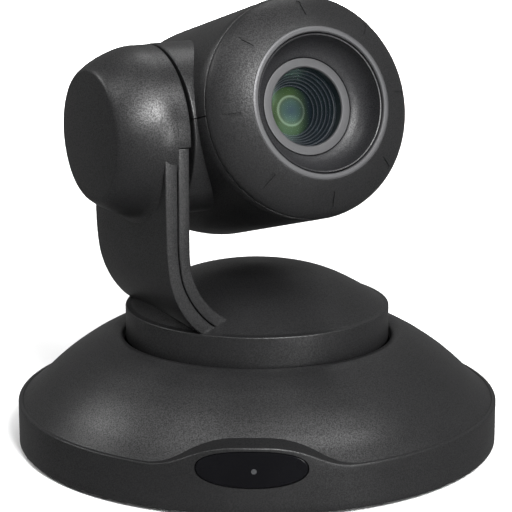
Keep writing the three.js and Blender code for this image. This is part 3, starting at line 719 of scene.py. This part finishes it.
# %% The turntable
CAP = [(47.4, 51.25), (44.0, 53.35), (40.0, 55.8), (35.0, 58.55), (30.0, 60.8), (25.0, 62.45), (20.0, 63.65),
       (12.0, 64.9), (5.0, 65.45), (0.0, 65.6)]
UNDER_CAP = [(0.0, 63.2), (14.0, 62.2), (22.0, 60.4), (37.0, 54.3), (44.0, 50.6), (46.9, 48.6), (46.9, 38.9)]
wall = rounded([(47.1, 38.6), (49.35, 38.6, 0.4), (49.35, 50.95, 0.55), (47.4, 51.25)], 6, closed=False)
piece("turntable_cap", [lathe(wall[:-1] + smooth(CAP, 6) + UNDER_CAP, 256)], TURN, "pan_unit", charcoal,
      ["turntable"], sharp=45)

# %% [markdown]
# ## The arm
# The arm is two half shells, 60 mm wide, that meet in a fine seam down the middle of the edge. Three
# lines describe it: the outer face, the inner face and the seam between them. They bend together
# from the turntable up to the hub.

# %% The arm's faces, as (sideways, height)
ARM_OUT = [(-24.0, 44.5), (-32.0, 47.3), (-38.7, 51.1), (-43.5, 55.6), (-47.7, 62.0), (-50.6, 69.8), (-51.9, 79.0),
           (-52.3, 90.0), (-52.4, 100.0)]
ARM_IN = [(-18.0, 50.6), (-24.0, 53.0), (-28.9, 55.5), (-34.2, 59.6), (-38.6, 65.0), (-41.5, 71.0), (-42.75, 77.4),
          (-43.0, 84.0), (-43.0, 94.0)]
ARM_MID = [(-21.0, 46.5), (-27.5, 49.6), (-33.2, 52.9), (-38.2, 57.3), (-42.5, 63.0), (-45.8, 70.1), (-47.1, 77.7),
           (-47.5, 84.0), (-47.5, 94.0)]
outer_face, inner_face, middle = smooth(ARM_OUT, 7), smooth(ARM_IN, 7), smooth(ARM_MID, 7)
print("the strap is", round(middle[-1][0] - outer_face[-1][0], 1), "mm thick outside the seam")

# %% Outlines of the strap
SEAM = 0.16                                           # half the seam's width
STRAP_HALF = 30                                       # half the strap's width


def strap(first, second, top):
    """Anticlockwise outline between two faces, closed at a height, without points that nearly meet."""
    loop = list(first) + [(first[-1][0], top), (second[-1][0], top)] + list(reversed(second))
    loop = [p for i, p in enumerate(loop) if i == 0 or (Vector(p) - Vector(loop[i - 1])).length > 0.3]
    area = sum(a[0] * b[1] - b[0] * a[1] for a, b in zip(loop, loop[1:] + loop[:1]))
    return loop if area > 0 else list(reversed(loop))


def shifted(line, d):
    """The line moved sideways by d, at right angles to its own direction."""
    out = []
    for i, p in enumerate(line):
        a, b = Vector(line[max(i - 1, 0)]), Vector(line[min(i + 1, len(line) - 1)])
        t = (b - a).normalized()
        out.append((p[0] - t.y * d, p[1] + t.x * d))
    return out


def bored(name, outline, bore):
    """A strap with a round hole on the tilt axis, as an object."""
    obj = bpy.data.objects.new(name, mesh_of(name, [slab(outline, -STRAP_HALF, STRAP_HALF, 0.45)], TURN))
    bpy.context.collection.objects.link(obj)
    return carve(obj, [mesh_of("bore", [raised(bore, TILT_Z)], TURN)], sharp=30)


arm_outer = bored("arm_outer", strap(shifted(middle, SEAM), outer_face, TILT_Z - 1),
                  lathe([(0.0, 44.0), (27.2, 44.0), (27.2, 56.0), (0.0, 56.0)], 96, "x"))
print("outer strap:", len(arm_outer.data.polygons), "faces")

# %% [markdown]
# The outer shell carries the round hub and wraps over its top; the inner one stops just under the
# hub's middle. The hub is nearly a turned shape, but it flares a little where it grows out of the
# strap, as a moulding does. So its rings are made one by one, each with its own flare. Strap, hub and
# collar are separate closed shapes in one piece.

# %% The hub and its collar
HUB_FACE = 67.6
hub_taper = smooth([(30.8, 48.2), (30.75, 50.2), (30.3, 53.0), (29.3, 56.4), (27.9, 60.0), (26.2, 63.4),
                    (24.5, 66.0)], 5)
hub_line = [(28.0, 47.35), (30.8, 47.35)] + hub_taper
hub_line += [(23.75, 66.95), (23.2, 67.4), (22.4, HUB_FACE), (0.0, HUB_FACE)]
hub_inside = [(0.0, 65.2), (22.2, 65.2), (25.2, 61.0), (26.9, 57.8), (28.0, 54.8)]
hub_closed = list(reversed(hub_line)) + list(reversed(hub_inside))
hub_rings = []
for k in range(224):
    a = 2 * math.pi * k / 224
    down = max(0.0, -math.sin(a))                 # 1 straight down, 0 sideways and up
    flare = max(0.0, min(1.0, (down - 0.34) / 0.4))
    flare = flare * flare * (3 - 2 * flare)
    ring = []
    for r, h in hub_closed:
        grow = 0.0
        if r > 28.4 and h < 58:
            grow = 2.2 * flare * max(0.0, (56.5 - max(h, 52.4)) / 4.1) ** 3
        ring.append((-h, (r + grow) * math.cos(a), (r + grow) * math.sin(a) + TILT_Z))
    hub_rings.append(ring)
hub_skin = skin(hub_rings, around=False, along=True)

collar_profile = rounded([(13.1, 47.6), (13.1, 42.5), (30.8, 42.5, 0.5), (30.8, 47.6)], 5)
INNER_TOP = 118.7
collar = split(raised(lathe(collar_profile, 224, "x"), TILT_Z), INNER_TOP + 2 * SEAM, True)
rest_of_hub = mesh_of("hub", [hub_skin, collar], TURN)
joined = bmesh.new()
joined.from_mesh(arm_outer.data)
joined.from_mesh(rest_of_hub)
joined.to_mesh(arm_outer.data)
joined.free()
soften(arm_outer.data, 30)
dress(arm_outer, "pan_unit", charcoal, ["arm_outer_shell"])

# %% [markdown]
# The inner shell faces the head. It is the plain half of the arm: the strap up to just under the hub's
# middle, with a hole for the tilt shaft.

# %% The arm's inner shell
arm_inner = bored("arm_inner", strap(inner_face, shifted(middle, -SEAM), INNER_TOP),
                  lathe([(0.0, 40.0), (13.1, 40.0), (13.1, 50.0), (0.0, 50.0)], 64, "x"))
dress(arm_inner, "pan_unit", charcoal, ["arm_inner_shell"])

# %% [markdown]
# ## The camera head
# The head is a cylinder on the optical axis whose back is rounded about the tilt axis, so that it can
# swing past the turntable. Rings of points run from the front edge along the cylinder, round the rear
# corner and in to the middle of the back. The same rings, slightly smaller, make the inner wall. The
# closed shell is then split level with the axis into an upper and a lower half.

# %% Head shells
HEAD_R, HEAD_BACK, WALL = 40.0, 53.3, 2.2


def head_rings(radius, back, fillet, front, count=240):
    """Rings of points from the front edge to the middle of the back."""
    turns = [2 * math.pi * (k + 0.5) / count for k in range(count)]
    rows = [[(radius + dr, d, t) for t in turns] for dr, d in front]
    rings = [[(r * math.cos(t), -d, r * math.sin(t)) for r, d, t in row] for row in rows]
    start = front[-1][1]
    ends = [-math.sqrt(back ** 2 - (radius * math.sin(t)) ** 2) for t in turns]
    for k in range(1, 15):
        rings.append([(radius * math.cos(t), -(start + (e + fillet - start) * k / 14), radius * math.sin(t))
                      for t, e in zip(turns, ends)])
    for k in range(1, 9):
        ring = []
        for t, e in zip(turns, ends):
            c, s, f = math.cos(t), math.sin(t), k / 8
            p0 = Vector((radius * c, -(e + fillet), radius * s))
            p1 = Vector((radius * c, -e, radius * s))
            q = radius - fillet
            p2 = Vector((q * c, math.sqrt(back ** 2 - (q * s) ** 2), q * s))
            ring.append(tuple(p0.lerp(p1, f).lerp(p1.lerp(p2, f), f)))
        rings.append(ring)
    for k in range(1, 13):
        q = (radius - fillet) * (1 - k / 12)
        rings.append([(q * math.cos(t), math.sqrt(back ** 2 - (q * math.sin(t)) ** 2), q * math.sin(t))
                      for t in turns])
    return rings


outer_rings = head_rings(HEAD_R, HEAD_BACK, 4.5, [(-0.45, 37.6), (-0.15, 37.54), (0.0, 37.3)])
inner_rings = head_rings(HEAD_R - WALL, HEAD_BACK - WALL, 3.5, [(0.0, 37.6)])
head_shell = skin(list(reversed(outer_rings)) + inner_rings)
boss_profile = rounded([(31.0, 24.0), (31.0, 41.3, 0.7), (8.5, 41.3), (8.5, 39.1), (28.8, 39.1), (28.8, 24.0)], 5)
boss = lathe(boss_profile, 192, "x")
print("head shell drawn with", len(head_shell[1]), "quads")

SPLIT = 0.17
piece("head_upper", [split(head_shell, SPLIT, True), split(boss, SPLIT, True)], HEAD, "head", charcoal,
              ["head_upper_shell"], sharp=38)
lower = piece("head_lower", [split(head_shell, -SPLIT, False), split(boss, -SPLIT, False)], HEAD, "head", charcoal,
              ["head_lower_shell"], sharp=38)

# %% [markdown]
# Two sunk screws hold the lower half. Their recesses are cut through the back wall; the screws
# themselves keep their frame shape and only get a finish later.

# %% Screw recesses in the back of the head
recesses = []
for s in (-1, 1):
    hole = lathe([(0.0, -56.0), (3.2, -56.0), (3.2, -47.6), (0.0, -47.6)], 40, "y")
    recesses.append(mesh_of("recess", [([(x + 22 * s, y, z - 14) for x, y, z in hole[0]], hole[1])], HEAD))
carve(lower, recesses, sharp=38)
print("lower half with recesses:", len(lower.data.polygons), "faces")

# %% [markdown]
# ## Bezel and lens
# The bezel closes the head's front with a convex face that runs up to a flat lip. Both are turned
# shapes. The lip is a ring of its own in the lens ring's lighter finish, which paints the highlight on its edge, so
# it is a separate lathe.

# %% The bezel
bezel_front = smooth([(39.4, 39.9), (38.3, 41.65), (36.6, 43.4), (34.2, 45.25), (31.2, 47.1), (28.9, 48.3),
                      (27.16, 49.1)], 6)
bezel_line = [(35.4, 32.0), (37.4, 32.0), (37.4, 37.95), (39.5, 37.95), (39.8, 38.07), (39.84, 38.35),
              (39.62, 39.2)]
bezel_line += bezel_front
bezel_line += [(26.95, 49.12), (26.9, 48.5), (28.2, 45.9), (33.6, 42.4), (35.4, 39.5)]
bezel = piece("bezel", [lathe(bezel_line, 288, "y")], HEAD, "head", bezel_grey, ["front_bezel"], sharp=34)

# %% The lip round the opening, with a painted highlight
lip_line = rounded([(24.85, 46.3), (26.88, 46.3), (26.88, 49.18, 0.12), (26.2, 49.42, 0.2), (25.2, 49.42, 0.25),
                    (24.85, 49.0, 0.15)], 4)
# The lip's lighter finish is a painted highlight on its edge.
piece("bezel_lip", [lathe(lip_line, 224, "y")], HEAD, "head", lens_ring_satin_and_lip_highlight, sharp=28)

# %% [markdown]
# Eight short index marks are sunk into the bezel, each ending in a round dimple. They repeat round a
# circle, so Geometry Nodes place the cutters: one cutter leans to the bezel's slope, moves out to its
# radius and is instanced on the points of a mesh circle, turned further for each point. The circle
# has no radius of its own, because every copy already carries its distance from the axis.

# %% One index mark
MARK_DEPTH = 0.42
HALF_BAR, DOT, DOT_AT = 0.62, 0.95, 2.7               # half the bar's width, the dimple's radius and place


def mark_cutter():
    """One mark: a narrow bar with a round end, as a closed outline pushed through the surface."""
    turns = [math.radians(-135 + 15 * k) for k in range(19)]
    dot = [(DOT_AT + DOT * math.cos(a), DOT * math.sin(a)) for a in turns]
    key = [(-3.0, HALF_BAR), (-3.35, 0.3), (-3.35, -0.3), (-3.0, -HALF_BAR), (dot[0][0] - 0.1, -HALF_BAR)]
    key += dot + [(dot[-1][0] - 0.1, HALF_BAR)]
    verts = [(x, y, z) for z in (-MARK_DEPTH, 0.9) for x, y in key]
    n = len(key)
    faces = [tuple(reversed(range(n))), tuple(range(n, 2 * n))]
    faces += [(k, (k + 1) % n, n + (k + 1) % n, n + k) for k in range(n)]
    return mesh_of("mark", [(verts, faces)], Matrix.Identity(4))


print("one mark is", round(3.35 + DOT_AT + DOT, 1), "mm long")


# %% A Geometry Nodes tree that repeats a shape round a circle
def ring_tree(name, cutter, finish):
    """Count copies of the cutter, leaned by Slope, moved out by Radius and up by Height, begun at Turn."""
    tree = bpy.data.node_groups.new(name, "GeometryNodeTree")
    face = tree.interface
    face.new_socket("Geometry", in_out="INPUT", socket_type="NodeSocketGeometry")
    face.new_socket("Count", in_out="INPUT", socket_type="NodeSocketInt").default_value = 8
    face.new_socket("Radius", in_out="INPUT", socket_type="NodeSocketFloat").default_value = 34.0
    face.new_socket("Height", in_out="INPUT", socket_type="NodeSocketFloat").default_value = 45.0
    face.new_socket("Slope", in_out="INPUT", socket_type="NodeSocketFloat").default_value = 0.6
    face.new_socket("Turn", in_out="INPUT", socket_type="NodeSocketFloat").default_value = 0.0
    face.new_socket("Geometry", in_out="OUTPUT", socket_type="NodeSocketGeometry")
    nodes, links = tree.nodes, tree.links
    get, out = nodes.new("NodeGroupInput"), nodes.new("NodeGroupOutput")
    circle = nodes.new("GeometryNodeMeshCircle")
    links.new(get.outputs["Count"], circle.inputs["Vertices"])
    circle.inputs["Radius"].default_value = 0.0       # every copy starts on the axis
    info = nodes.new("GeometryNodeObjectInfo")
    info.inputs["Object"].default_value = cutter
    tilt = nodes.new("ShaderNodeCombineXYZ")
    links.new(get.outputs["Slope"], tilt.inputs["Y"])
    lean = nodes.new("GeometryNodeTransform")
    links.new(info.outputs["Geometry"], lean.inputs["Geometry"])
    links.new(tilt.outputs["Vector"], lean.inputs["Rotation"])
    spot = nodes.new("ShaderNodeCombineXYZ")
    links.new(get.outputs["Radius"], spot.inputs["X"])
    links.new(get.outputs["Height"], spot.inputs["Z"])
    links.new(spot.outputs["Vector"], lean.inputs["Translation"])
    index = nodes.new("GeometryNodeInputIndex")
    share = nodes.new("ShaderNodeMath")
    share.operation = "DIVIDE"
    links.new(index.outputs["Index"], share.inputs[0])
    links.new(get.outputs["Count"], share.inputs[1])
    angle = nodes.new("ShaderNodeMath")
    angle.operation = "MULTIPLY_ADD"
    angle.inputs[1].default_value = 2 * math.pi
    links.new(share.outputs[0], angle.inputs[0])
    links.new(get.outputs["Turn"], angle.inputs[2])
    spin = nodes.new("ShaderNodeCombineXYZ")
    links.new(angle.outputs[0], spin.inputs["Z"])
    put = nodes.new("GeometryNodeInstanceOnPoints")
    links.new(circle.outputs["Mesh"], put.inputs["Points"])
    links.new(lean.outputs["Geometry"], put.inputs["Instance"])
    links.new(spin.outputs["Vector"], put.inputs["Rotation"])
    real = nodes.new("GeometryNodeRealizeInstances")
    links.new(put.outputs["Instances"], real.inputs["Geometry"])
    paint = nodes.new("GeometryNodeSetMaterial")
    paint.inputs["Material"].default_value = finish
    links.new(real.outputs["Geometry"], paint.inputs["Geometry"])
    links.new(paint.outputs["Geometry"], out.inputs["Geometry"])
    return tree


print("ring tree: Count, Radius, Height, Slope, Turn")


# %% Running the tree and cutting the marks
def ring_of(cutter_mesh, tree_name, finish, **sizes):
    """Runs the tree and returns the placed copies as one plain mesh, still in the drawing's frame."""
    seed = bpy.data.objects.new("seed", cutter_mesh)
    host = bpy.data.objects.new("host", bpy.data.meshes.new("host"))
    for o in (seed, host):
        bpy.context.collection.objects.link(o)
    tree = ring_tree(tree_name, seed, finish)
    mod = host.modifiers.new("ring", "NODES")
    mod.node_group = tree
    keys = {s.name: s.identifier for s in tree.interface.items_tree if getattr(s, "in_out", "") == "INPUT"}
    for key, value in sizes.items():
        mod[keys[key]] = value
    host.update_tag()
    view = bpy.context.evaluated_depsgraph_get()
    mesh = bpy.data.meshes.new_from_object(host.evaluated_get(view))
    for o in (host, seed):
        bpy.data.objects.remove(o)
    return mesh


marks = ring_of(mark_cutter(), "index_marks", bezel_grey, Count=8, Radius=33.9, Height=45.45, Slope=0.60,
                Turn=math.radians(2))
forward = HEAD @ Matrix.Rotation(math.pi / 2, 4, "X")
marks.transform(forward)
carve(bezel, [marks], sharp=34)
print("bezel with marks:", len(bezel.data.polygons), "faces")

# %% [markdown]
# Inside the lip a dark bowl narrows to the lens ring, and the ring holds the front glass. All three
# are turned, so they are lathes on the optical axis. The glass is a thin meniscus: two spherical caps
# drawn as arcs from edge to axis.

# %% Bowl, ring and glass
bowl_line = [(24.45, 43.0), (24.45, 48.4), (24.2, 48.6), (23.9, 48.5)]
bowl_line += smooth([(23.75, 47.0), (23.1, 44.2), (21.9, 41.9), (20.1, 40.1), (17.9, 38.75)], 6)
bowl_line += [(17.56, 38.5), (17.56, 36.5), (20.6, 37.2), (22.8, 39.4)]
piece("bowl", [lathe(bowl_line, 224, "y")], HEAD, "head", bowl_black, ["lens_bowl"], sharp=40)

ring_line = rounded([(14.6, 34.0), (17.26, 34.0), (17.26, 38.6, 0.25), (14.3, 38.6, 0.25), (13.95, 38.1),
                     (13.95, 37.95), (14.6, 37.9)], 4)
piece("lens_surround", [lathe(ring_line, 192, "y")], HEAD, "head", lens_ring_satin_and_lip_highlight, ["lens_ring"], sharp=30)


def bulge(radius, rise, count=14):
    """Points of a shallow spherical cap from its edge to the axis, as (radius, extra height)."""
    ball = (radius * radius + rise * rise) / (2 * rise)
    return [(radius * (1 - k / count), math.sqrt(ball * ball - (radius * (1 - k / count)) ** 2) - (ball - rise))
            for k in range(count + 1)]


front_cap = [(r, 37.55 + h) for r, h in bulge(14.35, 2.1)]
back_cap = [(r, 34.5 + h) for r, h in reversed(bulge(14.35, 1.2))]
piece("front_glass", [lathe(back_cap + front_cap, 144, "y")], HEAD, "head", front_glass,
      ["front_element"], sharp=60)

# %% [markdown]
# A real zoom lens shows its depth through black baffle rings and a coated lens behind them. The
# baffles are a stair of ledges on the lathe with painted highlights on their lips, and the coated lens is a
# shallow cap with a painted reflection. They stand just in front of the zoom group's foremost place, so
# nothing touches when it slides.

# %% Baffles and inner lens
def baffle_profile(count=5, outer=13.4, inner=8.9, front=33.6, back=26.6):
    """A stair of thin ledges that narrows towards the back, closed behind."""
    line = []
    for k in range(count):
        r0 = outer + (inner - outer) * k / count
        r1 = outer + (inner - outer) * (k + 1) / count
        d0 = front + (back - front) * k / count
        d1 = front + (back - front) * (k + 1) / count
        line += [(r0, d0), (r0, d1 + 0.16), (r0 - 0.05, d1 + 0.1), (r1 + 0.25, d1 + 0.1), (r1, d1 + 0.2)]
    return line + [(inner, back - 1.2), (14.5, back - 1.2), (14.5, front), (outer + 0.6, front + 0.3)]


piece("lens_baffle", [lathe(baffle_profile(), 160, "y")], HEAD, "head", baffle_black, sharp=30)
# The second lens carries the painted reflection in its base colour.
second_cap = [(r, 25.2 + h) for r, h in bulge(9.6, 1.6)]
piece("second_lens", [lathe([(0.0, 24.5), (9.6, 24.5)] + second_cap, 144, "y")], HEAD, "head", lens_with_painted_reflection,
      sharp=50)

# %% [markdown]
# ## Feet and the hidden parts
# Four rubber feet repeat round the plate, so the same tree places them. Each is a low disc with a
# stub that plugs into the plate.

# %% Feet
foot_line = rounded([(0.0, -1.5), (8.9, -1.5, 0.5), (9.0, -0.3, 0.3), (2.2, -0.3), (2.2, 3.4, 0.4), (0.0, 3.4)], 5,
                    closed=False)
foot = mesh_of("foot", [lathe(foot_line, 48)], Matrix.Identity(4))
feet_mesh = ring_of(foot, "feet", rubber, Count=4, Radius=68.0, Height=0.0, Slope=0.0, Turn=math.radians(45))
feet_mesh.transform(BASE)
feet_mesh.name = "feet"
soften(feet_mesh)
feet = bpy.data.objects.new("feet", feet_mesh)
bpy.context.collection.objects.link(feet)
dress(feet, "base", rubber, ["foot_1", "foot_2", "foot_3", "foot_4"])

# %% [markdown]
# The parts inside the camera, the connectors and the screws keep their frame shapes. They only get
# finishes, grouped here by what they are made of.

# %% Finishes of the parts that keep their frame shape
FINISHES = {
    light_pipe: ["status_light"],
    epoxy: ["ir_receiver", "pan_home_sensor", "image_sensor"],
    board_green: ["ir_board", "main_board", "sensor_board", "video_board"],
    black_plastic: ["connector_panel", "control_port"],
    powder_coat: ["base_plate"],
    black_screw: ["base_screw_1", "base_screw_2", "base_screw_3", "base_screw_4", "head_screw_1", "head_screw_2"],
    brass: ["tripod_bush", "pan_pinion", "tilt_pinion"],
    nickel: ["power_jack", "usb_port", "hdmi_port"],
    cast_metal: ["pan_chassis", "pan_table", "arm_frame", "head_frame"],
    plain_steel: ["pan_bearing", "pan_motor", "pan_shaft", "tilt_bearing", "tilt_motor", "tilt_shaft"],
    acetal: ["pan_gear", "tilt_gear"],
    inner_glass: ["zoom_group", "focus_group"],
    black_tube: ["lens_barrel"],
}
for finish, names in FINISHES.items():
    for name in names:
        node = frame["nodes"][name]
        node = node if hasattr(node, "data") else bpy.data.objects[name]
        node.data.materials.clear()
        node.data.materials.append(finish)
print("finished", sum(len(v) for v in FINISHES.values()), "frame parts")

# %% [markdown]
# ## Floor, light and camera
# The floor is pale and has no visible edge. Dark plastic mirrors a pale floor so strongly at a
# grazing angle that its sides look hazy; a studio hangs black cards to stop that. Here the floor is
# left out of reflections, which does the same, while its soft bounced light stays.

# %% Floor and world
floor_mat, nodes, links, shader, coords = new_material("studio_floor")
links.new(tint(nodes, links, noise(nodes, links, coords, 3.0), (0.86, 0.86, 0.86), (0.90, 0.90, 0.90)),
          shader.inputs["Base Color"])
shader.inputs["Roughness"].default_value = 0.8
floor_mesh = bpy.data.meshes.new("floor")
floor_mesh.from_pydata([(-30, -30, 0), (30, -30, 0), (30, 30, 0), (-30, 30, 0)], [], [(0, 1, 2, 3)])
floor = bpy.data.objects.new("floor", floor_mesh)
bpy.context.collection.objects.link(floor)
floor.data.materials.append(floor_mat)
floor.visible_glossy = False
floor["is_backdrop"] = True

world = bpy.data.worlds.new("studio")
bpy.context.scene.world = world
world.use_nodes = True
world.node_tree.nodes["Background"].inputs["Color"].default_value = (1, 1, 1, 1)
world.node_tree.nodes["Background"].inputs["Strength"].default_value = 0.20
bpy.context.scene.view_settings.view_transform = "Standard"
print("world strength:", round(world.node_tree.nodes["Background"].inputs["Strength"].default_value, 2))

# %% [markdown]
# Round softboxes stand on a sphere round the camera. The key light in front, a little to the right,
# makes the broad highlight on the hub. A weak low one on the right lifts the arm's edges, and high
# ones on both sides and behind shape the domes. One more lights only the floor behind, straight down.

# %% Lights
def softbox(name, azimuth, elevation, power, size, distance=1.4):
    """A round softbox. Azimuth runs from the base's front towards +X, both angles in degrees."""
    az, el = math.radians(azimuth), math.radians(elevation)
    light = bpy.data.lights.new(name, "AREA")
    light.shape, light.size, light.energy = "DISK", size, power
    obj = bpy.data.objects.new(name, light)
    bpy.context.collection.objects.link(obj)
    aim = Vector((0, 0, 0.1))
    offset = Vector((math.sin(az) * math.cos(el), -math.cos(az) * math.cos(el), math.sin(el))) * distance
    obj.location = aim + offset
    obj.rotation_euler = (-offset).to_track_quat("-Z", "Y").to_euler()
    obj.visible_camera = False
    return obj


for name, azimuth, elevation, watts, size in (
        ("front_key", 20, 35, 38, 0.40), ("low_right", 40, 5, 11, 0.45), ("high_right", 60, 50, 8, 0.45),
        ("high_front", 12, 57, 4, 0.45), ("top_back", 175, 60, 4.5, 0.7), ("left_rim", -100, 36, 6, 0.45),
        ("high_left", -52, 60, 5, 0.6)):
    softbox(name, azimuth, elevation, watts, size)
far_floor = softbox("far_floor", 180, 40, 34, 1.2, 1.8)
far_floor.location = (0, 1.45, 1.3)
far_floor.rotation_euler = (0, 0, 0)                  # straight down, behind the object
far_floor.data.spread = math.radians(75)

# %% [markdown]
# The camera stands a little over three quarters of a metre away, a little above the rim, with a long
# lens. Its small shift only centres the frame.

# %% Camera
AZIMUTH, ELEVATION, DISTANCE = math.radians(1.2), math.radians(12.92), 0.77676
look = Vector((0, 0, rim_foot + 0.080))
back = Vector((math.sin(AZIMUTH) * math.cos(ELEVATION), -math.cos(AZIMUTH) * math.cos(ELEVATION),
               math.sin(ELEVATION)))
lens = bpy.data.cameras.new("studio_camera")
lens.sensor_width = 36
lens.lens = 146.54
lens.shift_x, lens.shift_y = -0.0022, -0.0578
studio_camera = bpy.data.objects.new("studio_camera", lens)
bpy.context.collection.objects.link(studio_camera)
studio_camera.location = look + back * DISTANCE
studio_camera.rotation_euler = (-back).to_track_quat("-Z", "Y").to_euler()
bpy.context.scene.camera = studio_camera
print("camera at", [round(v, 3) for v in studio_camera.location])
